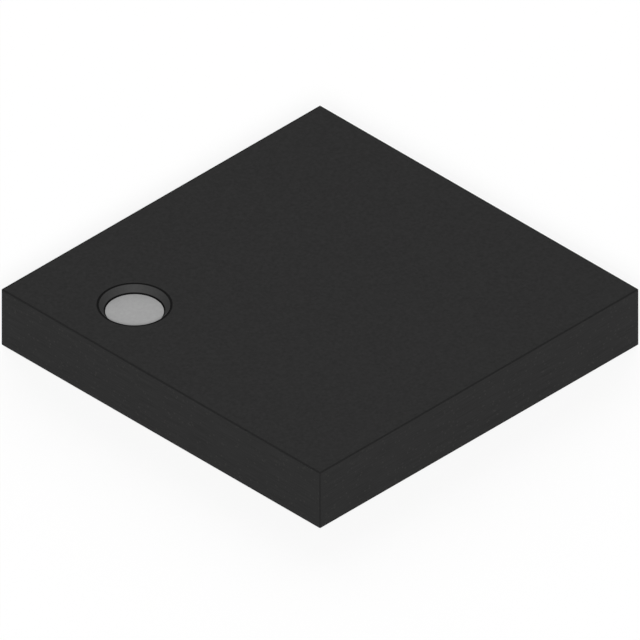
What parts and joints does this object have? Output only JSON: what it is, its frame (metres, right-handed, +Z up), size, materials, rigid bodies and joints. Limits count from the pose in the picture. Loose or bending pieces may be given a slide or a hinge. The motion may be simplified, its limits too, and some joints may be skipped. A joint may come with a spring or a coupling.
{
  "type": "quad flat no-lead chip",
  "caption": "Flat square surface-mount chip: a black moulded block with a round index recess on top, a bare thermal pad and pulled-back terminals below.",
  "frame": {"origin": "centre of the seating plane, on which the bare metal of the underside lies", "axes": "+Z up out of the marked top face; terminal 1 is at the +Y end of the -X side, and the count runs anticlockwise seen from +Z"},
  "size_m": [0.006, 0.006, 0.0009],
  "materials": {
    "mould_epoxy": "matte",
    "marking_paint": "matte",
    "plated_copper": "matte",
    "die_adhesive": "satin",
    "silicon": "polished",
    "gold_wire": "polished"
  },
  "bodies": {
    "root": {"mould_body": "mould_epoxy", "index_dot": "marking_paint", "die_pad": "plated_copper", "die_attach": "die_adhesive", "die": "silicon", "bond_wires_left": "gold_wire", "bond_wires_front": "gold_wire", "bond_wires_right": "gold_wire", "bond_wires_back": "gold_wire", "terminal_01": "plated_copper", "terminal_02": "plated_copper", "terminal_03": "plated_copper", "terminal_04": "plated_copper", "terminal_05": "plated_copper", "terminal_06": "plated_copper", "terminal_07": "plated_copper", "terminal_08": "plated_copper", "terminal_09": "plated_copper", "terminal_10": "plated_copper", "terminal_11": "plated_copper", "terminal_12": "plated_copper", "terminal_13": "plated_copper", "terminal_14": "plated_copper", "terminal_15": "plated_copper", "terminal_16": "plated_copper", "terminal_17": "plated_copper", "terminal_18": "plated_copper", "terminal_19": "plated_copper", "terminal_20": "plated_copper", "terminal_21": "plated_copper", "terminal_22": "plated_copper", "terminal_23": "plated_copper", "terminal_24": "plated_copper", "terminal_25": "plated_copper", "terminal_26": "plated_copper", "terminal_27": "plated_copper", "terminal_28": "plated_copper"}
  },
  "joints": []
}
